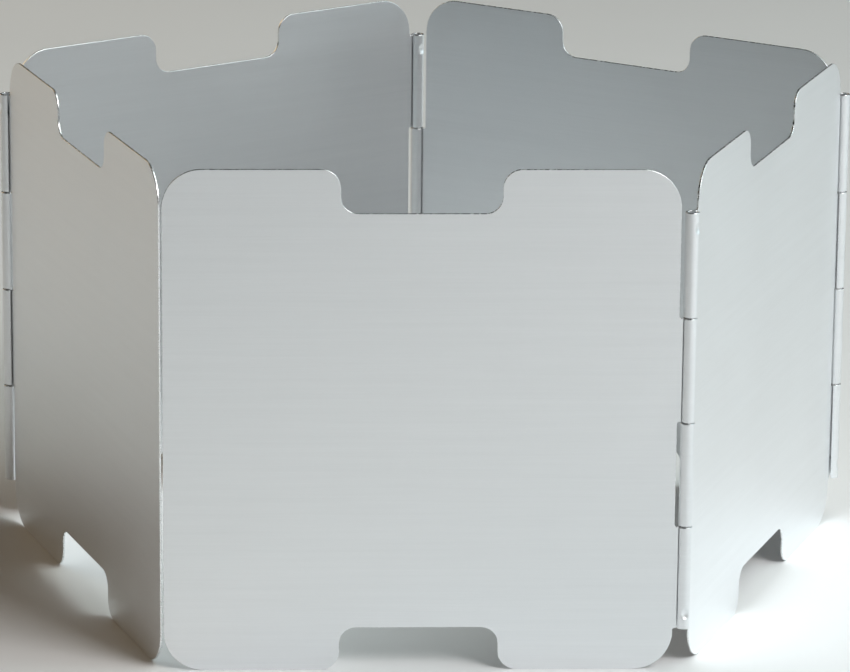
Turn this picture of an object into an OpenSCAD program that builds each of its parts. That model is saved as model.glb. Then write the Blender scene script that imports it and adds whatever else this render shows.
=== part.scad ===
// Folding stove windscreen. Five stamped aluminium panels stand on edge in a
// ring, each turned on the next by a hinge of rolled knuckles on a wire pin.
// The two end panels only meet at the front left corner, so the chain folds
// up zigzag into a flat stack. Millimetres, +Z up, the front faces -Y.

/* [Panel] */
// Width of the sheet between its straight side edges
panel_w = 122; // [100:1:150]
// Height of the sheet
panel_h = 124; // [110:1:150]
// Thickness of the sheet
sheet_t = 0.5; // [0.4:0.02:0.54]
// Radius of the four outer corners
corner_r = 9.4; // [4:0.2:9.6]
// Width of the notch in the top and bottom edges
notch_w = 38; // [24:1:60]
// Depth of the notch
notch_d = 10.7; // [9.2:0.1:20]
// Radius where a notch runs out into the tabs beside it
notch_lip_r = 4.6; // [1:0.1:4.8]
// Radius in the inner corners of a notch
notch_root_r = 4.1; // [1:0.1:4.4]

/* [Hinge] */
// Outside diameter of the rolled barrel
barrel_d = 3.4; // [3.2:0.05:3.8]
// Knuckles on each hinge, taken in turn by the two panels
knuckle_count = 4; // [2:2:6]
// Distance from the sheet's side edge to the hinge line
edge_setback = 2.6; // [2.5:0.05:4]
// Distance of the hinge line from the middle of the sheet, towards the fold
hinge_offset = 0.35; // [0.3:0.01:0.4]
// Plain side edge left above and below the barrel
hinge_margin = 10.2; // [9.7:0.1:20]
// Gap between one knuckle and the next
knuckle_gap = 0.35; // [0.2:0.05:0.8]
// Radius of the bend that leads the sheet into the curl, at mid thickness
bend_r = 0.5; // [0.45:0.01:0.6]
// Angle left open between the lip of the curl and the sheet
lip_open = 33; // [30:1:50]
// Radius where a knuckle leaves the side edge of the sheet
root_r = 0.5; // [0.2:0.05:0.5]
// Radial clearance of a pin in its barrel
pin_clearance = 0.05; // [0.02:0.01:0.1]
// Space between the end of a pin and the dimple that keeps it in
pin_play = 0.3; // [0.2:0.1:1]
// Bevel at the ends of a pin
pin_bevel = 0.2; // [0.1:0.05:0.4]

/* [Crimp dimples] */
// Length of a dimple along the barrel
dimple_l = 2.9; // [2:0.1:3.2]
// Depth of a dimple in the barrel's wall
dimple_depth = 0.5; // [0.3:0.05:0.55]
// Distance from the end of the barrel to the middle of a dimple
dimple_inset = 4; // [3:0.1:6]
// Angle of a dimple from square to its own sheet
dimple_turn = 12; // [0:1:20]

/* [Stance] */
// Turn from the front panel to the right panel
front_turn = 67.9; // [64:0.1:74]
// Turn from the right panel to the back right panel
right_turn = 79.4; // [70:0.1:82]
// Gap between the two free edges at the front left corner
free_gap = 0.3; // [0.2:0.1:2]

/* [Hidden] */
$fn = 96;
sheet_color = [0.78, 0.79, 0.8];
pin_color = [0.58, 0.59, 0.6];

// Barrel, knuckles and pin
eps = 0.01;
bend_lap = 3;
barrel_r = barrel_d / 2;
bore_r = barrel_r - sheet_t;
curl_r = barrel_r - sheet_t / 2;
pitch = panel_w + 2 * edge_setback;
barrel_l = panel_h - 2 * hinge_margin;
knuckle_pitch = barrel_l / knuckle_count;
knuckle_l = knuckle_pitch - knuckle_gap;
knuckle_lift = hinge_margin + knuckle_gap / 2;

// Dimple: a ball pressed into the wall, and the bump it raises in the bore
ball_r = (pow(dimple_l / 2, 2) + pow(dimple_depth, 2)) / (2 * dimple_depth);
ball_reach = barrel_r - dimple_depth + ball_r;
bump_r = ball_r + sheet_t;
bump_half_l = sqrt(pow(bump_r, 2) - pow(ball_reach - bore_r, 2));
pin_end = hinge_margin + dimple_inset + bump_half_l + pin_play;

// Hinges: [side of the hinge line, side of the curl's lip], outside positive
OUT = 1;
IN = -1;
FREE = [];
front_hinge = [IN, OUT];
right_hinge = [OUT, OUT];
back_hinge = [IN, IN];
left_hinge = [OUT, OUT];

// Plan of the chain, with the middle of the front panel at the start point
function along(a) = [cos(a), sin(a)];
function outward(a) = [sin(a), -cos(a)];
function offset_of(hinge) = hinge[0] * hinge_offset;
function bearing(v) = atan2(v.y, v.x);

front_heading = 0;
right_heading = front_heading + front_turn;
back_right_heading = right_heading + right_turn;

front_mid = [0, 0];
front_axis = front_mid + along(front_heading) * pitch / 2
    + outward(front_heading) * offset_of(front_hinge);
right_mid = front_axis + along(right_heading) * pitch / 2
    - outward(right_heading) * offset_of(front_hinge);
right_axis = right_mid + along(right_heading) * pitch / 2
    + outward(right_heading) * offset_of(right_hinge);
back_right_mid = right_axis + along(back_right_heading) * pitch / 2
    - outward(back_right_heading) * offset_of(right_hinge);
back_axis = back_right_mid + along(back_right_heading) * pitch / 2
    + outward(back_right_heading) * offset_of(back_hinge);

// The back left and left panels close the ring: they span from the back hinge
// to the spot beside the front panel's free edge where the left panel ends
free_end = front_mid - [panel_w / 2 + free_gap + sheet_t / 2, 0];
span = free_end - back_axis;
back_left_step = offset_of(left_hinge) - offset_of(back_hinge);
back_left_reach = norm([pitch, back_left_step]);
left_run = pitch - edge_setback;
left_reach = norm([left_run, hinge_offset]);
span_angle = acos((pow(back_left_reach, 2) + pow(norm(span), 2) - pow(left_reach, 2))
    / (2 * back_left_reach * norm(span)));
back_left_bearing = bearing(span) - span_angle;
left_axis = back_axis + along(back_left_bearing) * back_left_reach;
back_left_heading = back_left_bearing + atan2(back_left_step, pitch);
back_left_mid = back_axis + along(back_left_heading) * pitch / 2
    - outward(back_left_heading) * offset_of(back_hinge);
left_heading = bearing(free_end - left_axis) - atan2(offset_of(left_hinge), left_run);
left_mid = left_axis + along(left_heading) * pitch / 2
    - outward(left_heading) * offset_of(left_hinge);

// Middle of the ring's outer box, which becomes the origin
ring_mid = [
    (left_axis.x + right_axis.x) / 2,
    (front_axis.y + back_axis.y) / 2,
];

// Corner piece outside a quarter circle: cuts an outer corner or fills an inner one
module corner_piece(r) {
    difference() {
        square(r + eps);
        translate([r + eps, r + eps])
            circle(r);
    }
}

// Right half of one notch, with its rounded lip, opening upward from the height 0
module notch_half() {
    difference() {
        translate([-eps, -notch_d])
            square([notch_w / 2 + eps, notch_d + eps]);
        translate([notch_w / 2 + eps, -notch_d - eps])
            mirror([1, 0])
                corner_piece(notch_root_r);
    }
    translate([notch_w / 2 - eps, eps])
        mirror([0, 1])
            corner_piece(notch_lip_r);
}

// Right half of the flat sheet, seen from outside, without its knuckles
module sheet_half() {
    difference() {
        translate([-eps, 0])
            square([panel_w / 2 + eps, panel_h]);
        for (top = [0, 1])
            translate([0, top * panel_h])
                mirror([0, 1 - top]) {
                    notch_half();
                    translate([panel_w / 2 + eps, eps])
                        rotate(180)
                            corner_piece(corner_r);
                }
    }
}

// Sine of the angle where the bend meets the curl, for the hinge line's offset
// from the sheet towards the lip
function bend_sin(e) = (e + bend_r) / (curl_r + bend_r);
function bend_start(e) = (curl_r + bend_r) * sqrt(1 - pow(bend_sin(e), 2));

// Flat tongues that run from the right side edge to the start of the curl
module tongues(hinge, first) {
    e = offset_of(hinge) * hinge[1];
    for (k = [first : 2 : knuckle_count - 1])
        translate([panel_w / 2, knuckle_lift + k * knuckle_pitch]) {
            translate([-eps, eps])
                square([edge_setback - bend_start(e) + eps, knuckle_l - 2 * eps]);
            for (end = [0, 1])
                translate([-eps, end * knuckle_l])
                    mirror([0, 1 - end])
                        translate([0, -2 * eps])
                            corner_piece(root_r);
        }
}

// One knuckle: bend and curl about the hinge line, the sheet at -X and the lip at +Y.
// The bend is a hair thinner than its neighbours and laps into the tongue.
module knuckle(e) {
    turn = asin(bend_sin(e));
    rotate(turn) {
        translate([-curl_r - bend_r, 0])
            rotate_extrude(angle = 90 - turn + bend_lap)
                translate([bend_r - sheet_t / 2 + eps, 0])
                    square([sheet_t - 2 * eps, knuckle_l]);
        rotate(180)
            rotate_extrude(angle = 360 - lip_open)
                translate([bore_r, 0])
                    square([sheet_t, knuckle_l]);
    }
}

// Knuckle with a crimp dimple at the height z, pressed in from the lip side
module crimped_knuckle(e, z) {
    difference() {
        union() {
            knuckle(e);
            intersection() {
                cylinder(r = bore_r + eps, h = knuckle_l);
                dimple_ball(bump_r, z);
            }
        }
        dimple_ball(ball_r, z);
    }
}

module dimple_ball(r, z) {
    rotate(-dimple_turn)
        translate([0, ball_reach, z])
            sphere(r);
}

// Knuckles along the right side edge; the outermost one is crimped
module knuckles(hinge, first, crimped, crimp_z) {
    e = offset_of(hinge) * hinge[1];
    for (k = [first : 2 : knuckle_count - 1])
        translate([pitch / 2, -offset_of(hinge), knuckle_lift + k * knuckle_pitch])
            mirror([0, max(hinge[1], 0), 0])
                if (k == crimped)
                    crimped_knuckle(e, crimp_z);
                else
                    knuckle(e);
}

// One panel standing on its own X axis with its outer face towards -Y. Its right
// edge carries the lowest knuckle of that hinge, its left edge the topmost.
module panel(left, right) {
    low_crimp = dimple_inset - knuckle_gap / 2;
    color(sheet_color) {
        rotate([90, 0, 0])
            linear_extrude(sheet_t, center = true) {
                sheet_half();
                mirror([1, 0])
                    sheet_half();
                if (right != FREE)
                    tongues(right, 0);
                if (left != FREE)
                    mirror([1, 0])
                        tongues(left, 1);
            }
        if (right != FREE)
            knuckles(right, 0, 0, low_crimp);
        if (left != FREE)
            mirror([1, 0, 0])
                knuckles(left, 1, knuckle_count - 1, knuckle_l - low_crimp);
    }
}

// Wire pin, loose in the barrel between the two dimples
module pin() {
    r = bore_r - pin_clearance;
    color(pin_color)
        translate([0, 0, pin_end])
            rotate_extrude()
                polygon([
                    [0, 0],
                    [r - pin_bevel, 0],
                    [r, pin_bevel],
                    [r, panel_h - 2 * pin_end - pin_bevel],
                    [r - pin_bevel, panel_h - 2 * pin_end],
                    [0, panel_h - 2 * pin_end],
                ]);
}

// Stands a piece at a place of the chain's plan
module stand(place, heading) {
    translate(place - ring_mid)
        rotate(heading)
            children();
}

module front_panel() { stand(front_mid, front_heading) panel(FREE, front_hinge); }
module right_panel() { stand(right_mid, right_heading) panel(front_hinge, right_hinge); }
module back_right_panel() { stand(back_right_mid, back_right_heading) panel(right_hinge, back_hinge); }
module back_left_panel() { stand(back_left_mid, back_left_heading) panel(back_hinge, left_hinge); }
module left_panel() { stand(left_mid, left_heading) panel(left_hinge, FREE); }
module front_pin() { stand(front_axis, front_heading) pin(); }
module right_pin() { stand(right_axis, right_heading) pin(); }
module back_pin() { stand(back_axis, back_right_heading) pin(); }
module left_pin() { stand(left_axis, left_heading) pin(); }

front_panel();
right_panel();
back_right_panel();
back_left_panel();
left_panel();
front_pin();
right_pin();
back_pin();
left_pin();
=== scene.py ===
import math
from collections import namedtuple

import bmesh
import bpy
from mathutils import Matrix, Vector


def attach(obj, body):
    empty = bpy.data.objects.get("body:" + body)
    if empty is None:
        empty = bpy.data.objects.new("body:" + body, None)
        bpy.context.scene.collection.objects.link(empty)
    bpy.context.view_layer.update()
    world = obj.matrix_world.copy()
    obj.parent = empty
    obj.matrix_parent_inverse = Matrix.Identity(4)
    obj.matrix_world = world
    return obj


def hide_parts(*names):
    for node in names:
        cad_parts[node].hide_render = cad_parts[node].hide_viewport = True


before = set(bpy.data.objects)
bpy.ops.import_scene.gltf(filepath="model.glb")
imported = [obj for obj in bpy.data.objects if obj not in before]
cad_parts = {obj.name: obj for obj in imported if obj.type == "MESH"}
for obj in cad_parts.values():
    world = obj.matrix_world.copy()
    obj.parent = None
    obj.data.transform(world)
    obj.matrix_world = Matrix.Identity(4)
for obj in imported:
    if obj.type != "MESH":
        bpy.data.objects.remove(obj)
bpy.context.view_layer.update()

MM = 0.001
scene = bpy.context.scene
scene.view_settings.view_transform = "Standard"

# Flat sheet of a panel
PANEL_W = 122 * MM
PANEL_H = 124 * MM
SHEET_T = 0.5 * MM
CORNER_R = 9.4 * MM
NOTCH_W = 38 * MM
NOTCH_D = 10.7 * MM
NOTCH_LIP_R = 4.6 * MM
NOTCH_ROOT_R = 4.1 * MM

# Rolled knuckles on the side edges
BARREL_R = 1.7 * MM
KNUCKLE_COUNT = 4
EDGE_SETBACK = 2.6 * MM
HINGE_OFFSET = 0.35 * MM
HINGE_MARGIN = 10.2 * MM
KNUCKLE_GAP = 0.35 * MM
BEND_R = 0.5 * MM
LIP_OPEN = math.radians(33)
ROOT_R = 0.5 * MM
LIP_CORNER_R = 0.3 * MM
CURL_R = BARREL_R - SHEET_T / 2
KNUCKLE_PITCH = (PANEL_H - 2 * HINGE_MARGIN) / KNUCKLE_COUNT
KNUCKLE_L = KNUCKLE_PITCH - KNUCKLE_GAP
KNUCKLE_LIFT = HINGE_MARGIN + KNUCKLE_GAP / 2

# Crimp dimple: the dent of a ball pressed into the barrel's wall
DIMPLE_L = 2.9 * MM
DIMPLE_DEPTH = 0.5 * MM
DIMPLE_INSET = 4 * MM
DIMPLE_TURN = math.radians(12)
BALL_R = ((DIMPLE_L / 2) ** 2 + DIMPLE_DEPTH ** 2) / (2 * DIMPLE_DEPTH)
BALL_REACH = BARREL_R - DIMPLE_DEPTH + BALL_R

# Mesh fineness
EDGE_ROUND = 0.09 * MM
EDGE_SUPPORT = 0.08 * MM
CORNER_STEPS = 13
BEND_STEPS = 6
CURL_STEPS = 40
DIMPLE_STEP = 0.2 * MM
LINE_SNAP = 0.001 * MM

# Material slots of a panel's mesh
SHEET_FACE = 0
CUT_EDGE = 1

# Hinges: the side of the hinge line and of the curl's lip, outside positive
OUT = 1
IN = -1
Hinge = namedtuple("Hinge", "line lip")
FRONT_HINGE = Hinge(IN, OUT)
RIGHT_HINGE = Hinge(OUT, OUT)
BACK_HINGE = Hinge(IN, IN)
LEFT_HINGE = Hinge(OUT, OUT)
PINS = ("front_pin", "right_pin", "back_pin", "left_pin")

# Panels: body, hinge on the left edge, hinge on the right edge, seen from outside
LEFT = -1
RIGHT = 1
Panel = namedtuple("Panel", "body left right")
PANELS = {
    "front_panel": Panel("front", None, FRONT_HINGE),
    "right_panel": Panel("right", FRONT_HINGE, RIGHT_HINGE),
    "back_right_panel": Panel("back_right", RIGHT_HINGE, BACK_HINGE),
    "back_left_panel": Panel("back_left", BACK_HINGE, LEFT_HINGE),
    "left_panel": Panel("left", LEFT_HINGE, None),
}

# Metals: darkest and lightest tone, least and most roughness, strength and depth of the relief
Metal = namedtuple("Metal", "dark light rough bump depth")
BRUSHED = Metal((0.865, 0.88, 0.895), (0.925, 0.94, 0.955), (0.33, 0.43), 0.12, 0.02 * MM)
SHEARED = Metal((0.80, 0.81, 0.82), (0.93, 0.935, 0.94), (0.2, 0.32), 0.1, 0.01 * MM)
DRAWN = Metal((0.50, 0.50, 0.51), (0.64, 0.64, 0.65), (0.26, 0.4), 0.15, 0.01 * MM)

# Noise patterns: features per metre across, through and up a panel
HAIRLINES = (45, 45, 4200)
STREAKS = (9, 9, 520)
CLOUDS = (26, 26, 26)
SCUFFS = (60, 60, 900)
SHEAR_LINES = (2600, 350, 2600)
DRAWN_LINES = (3200, 3200, 60)
NOISE_DETAIL = 3
NOISE_BAND = (0.3, 0.7)

# Mix of the patterns on the brushed face, and its scuffs
STREAK_SHARE = 0.4
CLOUD_SHARE = 0.35
SCUFF_TURN = math.radians(28)
SCUFF_BAND = (0.66, 0.74)
SCUFF_ROUGH = (0, 0.06)

# Camera at the photograph's viewing angle
IMAGE_W = 850
CAM_PLACE = Vector((-43.62, -1252.47, 422.56)) * MM
CAM_AZIMUTH = math.radians(1.967)
CAM_ELEVATION = math.radians(16.298)
CAM_ROLL = math.radians(0.512)
CAM_FOCAL_PX = 5124.7
SENSOR_W = 36.0

# Floor, in metres
FLOOR_HALF = 3
FLOOR_DARK = (0.885, 0.885, 0.885)
FLOOR_LIGHT = (0.905, 0.905, 0.905)
FLOOR_MOTTLE = (6, 6, 6)
FLOOR_ROUGH = 0.9

# Strength of the room's light from either side
ROOM_LEFT = 0.02
ROOM_RIGHT = 0.7
ROOM_TINT = (0.97, 1.0, 1.0)

# Lamps: degrees, metres and watts; azimuth 0 is the camera's side and 90 the right
Lamp = namedtuple("Lamp", "azimuth elevation distance size power tint")
LAMPS = {
    "key": Lamp(45, 40, 1.3, 0.6, 8.6, (1.0, 1.0, 1.0)),
    "overhead": Lamp(90, 64, 1.3, 0.6, 3.8, (0.88, 1.0, 0.97)),
    "low_right": Lamp(90, 25, 1.6, 0.8, 2.6, (0.6, 0.92, 1.0)),
    "warm_back": Lamp(-130, 25, 1.6, 0.8, 3.6, (1.0, 0.74, 0.45)),
}


class Curl:
    """Path of the sheet from a side edge through tongue, bend and curl"""

    def __init__(self, hinge, side, knuckles, crimp_z):
        self.side = side
        self.knuckles = knuckles
        self.crimp_z = crimp_z
        self.flip = -hinge.lip
        self.line_y = -hinge.line * HINGE_OFFSET
        self.rise = hinge.line * hinge.lip * HINGE_OFFSET
        self.turn = math.asin((self.rise + BEND_R) / (CURL_R + BEND_R))
        self.bend_x = (CURL_R + BEND_R) * math.cos(self.turn)
        self.tongue_l = EDGE_SETBACK - self.bend_x
        self.bend_l = BEND_R * (math.pi / 2 - self.turn)
        self.curl_l = CURL_R * (2 * math.pi - LIP_OPEN)
        self.curl_start = self.tongue_l + self.bend_l
        self.length = self.curl_start + self.curl_l

    def lines(self):
        """Distances from the side edge at which the flat blank is bent"""
        bend = [self.tongue_l + self.bend_l * i / BEND_STEPS for i in range(BEND_STEPS)]
        return bend + [self.curl_start + self.curl_l * i / CURL_STEPS for i in range(CURL_STEPS)]

    def spans(self):
        """Lowest and highest edge of each knuckle"""
        lifts = [KNUCKLE_LIFT + k * KNUCKLE_PITCH for k in self.knuckles]
        return [(lift, lift + KNUCKLE_L) for lift in lifts]

    def roll(self, s, y, z):
        """Place of a point of the blank, s beyond the side edge, after rolling"""
        w = y * self.flip
        if s <= self.tongue_l:
            at = Vector((s - EDGE_SETBACK, w - self.rise))
        elif s <= self.curl_start:
            angle = math.pi / 2 - (s - self.tongue_l) / BEND_R
            reach = BEND_R + w
            at = Vector((
                reach * math.cos(angle) - self.bend_x,
                reach * math.sin(angle) - self.rise - BEND_R,
            ))
        else:
            angle = math.pi + self.turn + (s - self.curl_start) / CURL_R
            reach = self.pressed(CURL_R - w, angle, z)
            at = Vector((reach * math.cos(angle), reach * math.sin(angle)))
        x = self.side * (PANEL_W / 2 + EDGE_SETBACK + at.x)
        return Vector((x, self.line_y + self.flip * at.y, z))

    def pressed(self, reach, angle, z):
        """Distance from the hinge line, less where the dimple's ball pushed the wall in"""
        off = angle - (math.pi / 2 - DIMPLE_TURN)
        ball = BALL_R + BARREL_R - reach
        room = ball ** 2 - (BALL_REACH * math.sin(off)) ** 2 - (z - self.crimp_z) ** 2
        if room <= 0 or math.cos(off) <= 0:
            return reach
        return min(reach, BALL_REACH * math.cos(off) - math.sqrt(room))


def curls_of(panel):
    """The curls on a panel: lowest knuckle on its right edge, topmost on its left"""
    low_z = HINGE_MARGIN + DIMPLE_INSET
    found = []
    if panel.right:
        upward = range(0, KNUCKLE_COUNT, 2)
        found.append(Curl(panel.right, RIGHT, upward, low_z))
    if panel.left:
        downward = range(KNUCKLE_COUNT - 1, 0, -2)
        found.append(Curl(panel.left, LEFT, downward, PANEL_H - low_z))
    return found


def blank_corners(curls):
    """Corners of the flat blank as (across, up, radius), anticlockwise from bottom left"""
    by_side = {curl.side: curl for curl in curls}
    half = PANEL_W / 2
    notch = NOTCH_W / 2
    bottom = [
        (-half, 0, CORNER_R),
        (-notch, 0, NOTCH_LIP_R),
        (-notch, NOTCH_D, NOTCH_ROOT_R),
        (notch, NOTCH_D, NOTCH_ROOT_R),
        (notch, 0, NOTCH_LIP_R),
        (half, 0, CORNER_R),
    ]
    top = [(-u, PANEL_H - z, r) for u, z, r in bottom]
    return bottom + tongue_corners(by_side.get(RIGHT)) + top + tongue_corners(by_side.get(LEFT))


def tongue_corners(curl):
    """Corners of the blank's tongues on one side edge, in the outline's own order"""
    if curl is None:
        return []
    edge = curl.side * PANEL_W / 2
    tip = curl.side * (PANEL_W / 2 + curl.length)
    corners = []
    for low, high in curl.spans():
        first, last = (low, high) if curl.side == RIGHT else (high, low)
        corners += [
            (edge, first, ROOT_R),
            (tip, first, LIP_CORNER_R),
            (tip, last, LIP_CORNER_R),
            (edge, last, ROOT_R),
        ]
    return corners


def rounded(corners):
    """Closed outline through square corners, each rounded by its own radius"""
    points = []
    for i, (u, z, radius) in enumerate(corners):
        here = Vector((u, z))
        back = (Vector(corners[i - 1][:2]) - here).normalized()
        ahead = (Vector(corners[(i + 1) % len(corners)][:2]) - here).normalized()
        centre = here + (back + ahead) * radius
        for k in range(CORNER_STEPS + 1):
            angle = math.pi / 2 * k / CORNER_STEPS
            points.append(centre - radius * (ahead * math.cos(angle) + back * math.sin(angle)))
    return points


def inset(points, depth):
    """The same anticlockwise outline moved inward"""
    moved = []
    for i, here in enumerate(points):
        before = (here - points[i - 1]).normalized()
        after = (points[(i + 1) % len(points)] - here).normalized()
        inward = Vector((-before.y - after.y, before.x + after.x)).normalized()
        spread = inward.dot(Vector((-before.y, before.x)))
        moved.append(here + inward * depth / spread)
    return moved


def edge_profile():
    """Inset and depth across the cut edge, from one face to the other"""
    slant = 1 - math.sqrt(0.5)
    half = SHEET_T / 2
    near = [
        (EDGE_ROUND + EDGE_SUPPORT, half),
        (EDGE_ROUND, half),
        (EDGE_ROUND * slant, half - EDGE_ROUND * slant),
        (0, half - EDGE_ROUND),
    ]
    return near + [(depth, -y) for depth, y in reversed(near)]


def blank_mesh(curls):
    """Flat blank with rounded cut edges, x across, y through the sheet, z up"""
    bm = bmesh.new()
    outline = rounded(blank_corners(curls))
    rings = [
        [bm.verts.new((p.x, y, p.y)) for p in inset(outline, depth)]
        for depth, y in edge_profile()
    ]
    count = len(outline)
    for r, (upper, lower) in enumerate(zip(rings, rings[1:])):
        for i in range(count):
            j = (i + 1) % count
            face = bm.faces.new((upper[i], lower[i], lower[j], upper[j]))
            face.material_index = CUT_EDGE if 0 < r < len(rings) - 2 else SHEET_FACE
    bm.faces.new(rings[0])
    bm.faces.new(reversed(rings[-1]))
    return bm


def cut(bm, faces, place, normal):
    """Adds an edge loop where a plane crosses some faces"""
    edges = {e for f in faces for e in f.edges}
    verts = {v for f in faces for v in f.verts}
    geom = list(faces) + list(edges) + list(verts)
    bmesh.ops.bisect_plane(bm, geom=geom, dist=LINE_SNAP, plane_co=place, plane_no=normal)


def score_blank(bm, curl):
    """Cross lines on the tongues, where they are bent, and a net round the dimple"""
    edge = PANEL_W / 2
    for s in curl.lines():
        cut(bm, bm.faces[:], (curl.side * (edge + s), 0, 0), (1, 0, 0))
    low, high = next((a, b) for a, b in curl.spans() if a < curl.crimp_z < b)
    reach = DIMPLE_L / 2 + DIMPLE_STEP
    steps = round(2 * reach / DIMPLE_STEP)
    for i in range(steps + 1):
        z = curl.crimp_z - reach + 2 * reach * i / steps
        faces = []
        for face in bm.faces:
            middle = face.calc_center_median()
            beyond = middle.x * curl.side - edge
            if beyond > curl.curl_start and low < middle.z < high:
                faces.append(face)
        cut(bm, faces, (0, 0, z), (0, 0, 1))


def panel_mesh(name, panel):
    """One panel: the blank, scored, with its tongues rolled into knuckles"""
    curls = curls_of(panel)
    bm = blank_mesh(curls)
    for curl in curls:
        score_blank(bm, curl)
    for face in bm.faces:
        face.smooth = True
    for vert in bm.verts:
        for curl in curls:
            beyond = vert.co.x * curl.side - PANEL_W / 2
            if beyond > 0:
                vert.co = curl.roll(beyond, vert.co.y, vert.co.z)
                break
    bm.normal_update()
    mesh = bpy.data.meshes.new(name)
    bm.to_mesh(mesh)
    bm.free()
    return mesh


def stand_of(node):
    """Matrix that stands a panel's own frame where its CAD node stands"""
    mesh = node.data
    outer = [p for p in mesh.polygons if p.normal.dot(p.center) > 0]
    wide = max(outer, key=lambda p: p.area)
    heading = math.atan2(wide.normal.x, -wide.normal.y)
    turn = Matrix.Rotation(heading, 4, "Z")
    top_z = max(v.co.z for v in mesh.vertices)
    top = [turn.inverted() @ v.co for v in mesh.vertices if v.co.z > top_z - LINE_SNAP]
    middle = Vector((
        (min(p.x for p in top) + max(p.x for p in top)) / 2,
        (min(p.y for p in top) + max(p.y for p in top)) / 2,
        top_z - PANEL_H,
    ))
    return turn @ Matrix.Translation(middle)


class Nodes:
    """A new node material with short ways to add and link nodes"""

    def __init__(self, name):
        self.material = bpy.data.materials.new(name)
        self.material.use_nodes = True
        self.tree = self.material.node_tree
        self.shader = self.tree.nodes["Principled BSDF"]

    def add(self, kind, **settings):
        node = self.tree.nodes.new("ShaderNode" + kind)
        for key, value in settings.items():
            setattr(node, key, value)
        return node

    def link(self, source, target):
        self.tree.links.new(source, target)

    def place(self):
        """Object coordinates, shifted so that no two pieces share a pattern"""
        coords = self.add("TexCoord")
        info = self.add("ObjectInfo")
        shift = self.add("VectorMath", operation="ADD")
        self.link(coords.outputs["Object"], shift.inputs[0])
        self.link(info.outputs["Random"], shift.inputs[1])
        return shift.outputs["Vector"]

    def noise(self, place, scale, turn=0):
        """Noise with its own scale per axis, turned about the axis through the sheet"""
        mapping = self.add("Mapping")
        mapping.inputs["Scale"].default_value = scale
        mapping.inputs["Rotation"].default_value = (0, turn, 0)
        texture = self.add("TexNoise")
        texture.inputs["Scale"].default_value = 1
        texture.inputs["Detail"].default_value = NOISE_DETAIL
        self.link(place, mapping.inputs["Vector"])
        self.link(mapping.outputs["Vector"], texture.inputs["Vector"])
        return texture.outputs["Fac"]

    def blend(self, first, second, share):
        """Two values mixed, with the second one's share"""
        mix = self.add("Mix", data_type="FLOAT")
        mix.inputs["Factor"].default_value = share
        self.link(first, mix.inputs["A"])
        self.link(second, mix.inputs["B"])
        return mix.outputs["Result"]

    def total(self, first, second):
        """Sum of two values"""
        plus = self.add("Math", operation="ADD")
        self.link(first, plus.inputs[0])
        self.link(second, plus.inputs[1])
        return plus.outputs["Value"]

    def spread(self, value, band, onto):
        """Maps a band of a value onto another band"""
        ranged = self.add("MapRange")
        ranged.inputs["From Min"].default_value = band[0]
        ranged.inputs["From Max"].default_value = band[1]
        ranged.inputs["To Min"].default_value = onto[0]
        ranged.inputs["To Max"].default_value = onto[1]
        self.link(value, ranged.inputs["Value"])
        return ranged.outputs["Result"]

    def colour(self, pattern, dark, light):
        """Base colour between two tones"""
        ramp = self.add("ValToRGB")
        for stop, position, tone in zip(ramp.color_ramp.elements, NOISE_BAND, (dark, light)):
            stop.position = position
            stop.color = (*tone, 1)
        self.link(pattern, ramp.inputs["Fac"])
        self.link(ramp.outputs["Color"], self.shader.inputs["Base Color"])

    def relief(self, height, strength, depth):
        """Fine relief of the surface"""
        bump = self.add("Bump")
        bump.inputs["Strength"].default_value = strength
        bump.inputs["Distance"].default_value = depth
        self.link(height, bump.inputs["Height"])
        self.link(bump.outputs["Normal"], self.shader.inputs["Normal"])

    def metal(self, finish, pattern, height, wear=None):
        """Bare metal: tone and gloss follow a pattern, and wear adds roughness"""
        self.colour(pattern, finish.dark, finish.light)
        rough = self.spread(pattern, NOISE_BAND, finish.rough)
        if wear is not None:
            rough = self.total(rough, wear)
        self.link(rough, self.shader.inputs["Roughness"])
        self.relief(height, finish.bump, finish.depth)
        self.shader.inputs["Metallic"].default_value = 1


def brushed_sheet():
    """Aluminium sheet brushed level, with faint clouds and a few handling scuffs"""
    nodes = Nodes("brushed_sheet")
    place = nodes.place()
    hairlines = nodes.noise(place, HAIRLINES)
    streaks = nodes.noise(place, STREAKS)
    clouds = nodes.noise(place, CLOUDS)
    scuffs = nodes.noise(place, SCUFFS, SCUFF_TURN)
    grain = nodes.blend(hairlines, streaks, STREAK_SHARE)
    tone = nodes.blend(grain, clouds, CLOUD_SHARE)
    nodes.metal(BRUSHED, tone, grain, wear=nodes.spread(scuffs, SCUFF_BAND, SCUFF_ROUGH))
    return nodes.material


def cut_edge():
    """Sheared edge: smoother than the brushed face, with fine lines through the sheet"""
    nodes = Nodes("cut_edge")
    shear = nodes.noise(nodes.place(), SHEAR_LINES)
    nodes.metal(SHEARED, shear, shear)
    return nodes.material


def pin_wire():
    """Drawn steel wire with lines along it"""
    nodes = Nodes("pin_wire_drawn")
    drawn = nodes.noise(nodes.place(), DRAWN_LINES)
    nodes.metal(DRAWN, drawn, drawn)
    return nodes.material


def add_camera():
    """Camera with the photograph's place, direction and focal length"""
    lens = bpy.data.cameras.new("camera")
    lens.sensor_fit = "HORIZONTAL"
    lens.sensor_width = SENSOR_W
    lens.lens = CAM_FOCAL_PX / IMAGE_W * SENSOR_W
    camera = bpy.data.objects.new("camera", lens)
    turn = Matrix.Rotation(-CAM_AZIMUTH, 4, "Z")
    tilt = Matrix.Rotation(math.pi / 2 - CAM_ELEVATION, 4, "X")
    roll = Matrix.Rotation(CAM_ROLL, 4, "Z")
    camera.matrix_world = Matrix.Translation(CAM_PLACE) @ turn @ tilt @ roll
    scene.collection.objects.link(camera)
    scene.camera = camera


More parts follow.
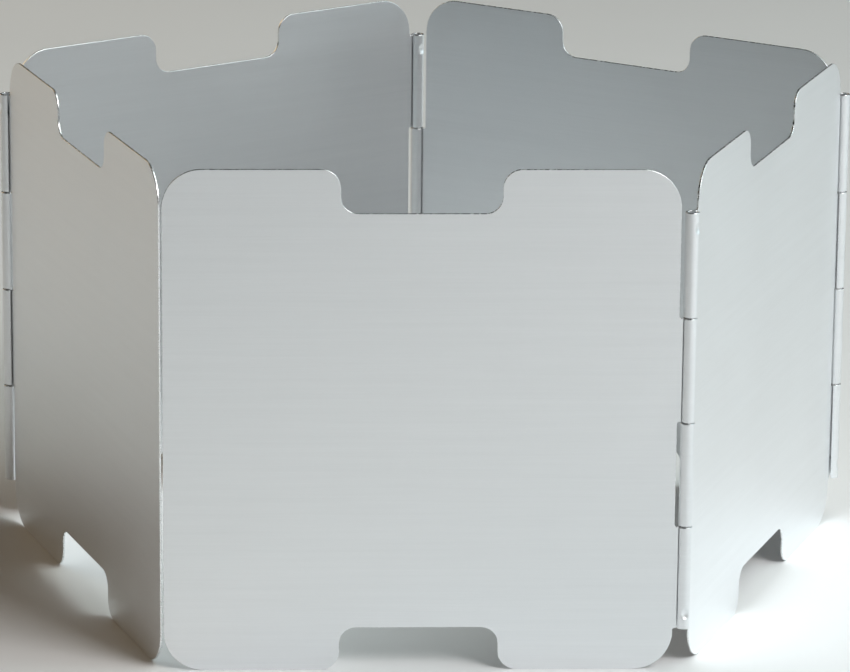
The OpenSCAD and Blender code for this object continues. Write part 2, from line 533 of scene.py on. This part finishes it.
def add_panels():
    """Every panel in place of its CAD node, on the same body"""
    finishes = {SHEET_FACE: brushed_sheet(), CUT_EDGE: cut_edge()}
    for name, panel in PANELS.items():
        mesh = panel_mesh(name + "_sheet", panel)
        for slot in sorted(finishes):
            mesh.materials.append(finishes[slot])
        piece = bpy.data.objects.new(name + "_sheet", mesh)
        scene.collection.objects.link(piece)
        piece.matrix_world = stand_of(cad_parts[name])
        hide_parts(name)
        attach(piece, panel.body)


def finish_pins():
    """The pins keep their CAD solids and get a better finish"""
    finish = pin_wire()
    for name in PINS:
        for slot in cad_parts[name].material_slots:
            slot.material = finish


def add_floor():
    """Plain pale floor, with a faint mottle"""
    nodes = Nodes("floor")
    mottle = nodes.noise(nodes.place(), FLOOR_MOTTLE)
    nodes.colour(mottle, FLOOR_DARK, FLOOR_LIGHT)
    nodes.shader.inputs["Roughness"].default_value = FLOOR_ROUGH
    mesh = bpy.data.meshes.new("floor")
    corners = [(x * FLOOR_HALF, y * FLOOR_HALF, 0) for x, y in ((-1, -1), (1, -1), (1, 1), (-1, 1))]
    mesh.from_pydata(corners, [], [(0, 1, 2, 3)])
    mesh.materials.append(nodes.material)
    floor = bpy.data.objects.new("floor", mesh)
    scene.collection.objects.link(floor)


def add_world():
    """Room light that comes from the right and fades out towards the left"""
    world = bpy.data.worlds.new("studio")
    scene.world = world
    world.use_nodes = True
    tree = world.node_tree
    coords = tree.nodes.new("ShaderNodeTexCoord")
    axes = tree.nodes.new("ShaderNodeSeparateXYZ")
    fade = tree.nodes.new("ShaderNodeMapRange")
    fade.inputs["To Min"].default_value = ROOM_LEFT
    fade.inputs["To Max"].default_value = ROOM_RIGHT
    room = tree.nodes["Background"]
    room.inputs["Color"].default_value = (*ROOM_TINT, 1)
    tree.links.new(coords.outputs["Generated"], axes.inputs["Vector"])
    tree.links.new(axes.outputs["X"], fade.inputs["Value"])
    tree.links.new(fade.outputs["Result"], room.inputs["Strength"])


def add_lamp(name, lamp):
    """Square soft lamp aimed at the object"""
    side = math.radians(lamp.azimuth)
    height = math.radians(lamp.elevation)
    place = lamp.distance * Vector((
        math.sin(side) * math.cos(height),
        -math.cos(side) * math.cos(height),
        math.sin(height),
    ))
    light = bpy.data.lights.new(name, "AREA")
    light.size = lamp.size
    light.energy = lamp.power
    light.color = lamp.tint
    holder = bpy.data.objects.new(name, light)
    holder.location = place
    holder.rotation_euler = (-place).to_track_quat("-Z", "Y").to_euler()
    scene.collection.objects.link(holder)


add_camera()
add_panels()
finish_pins()
add_floor()
add_world()
for lamp_name, lamp_row in LAMPS.items():
    add_lamp(lamp_name, lamp_row)
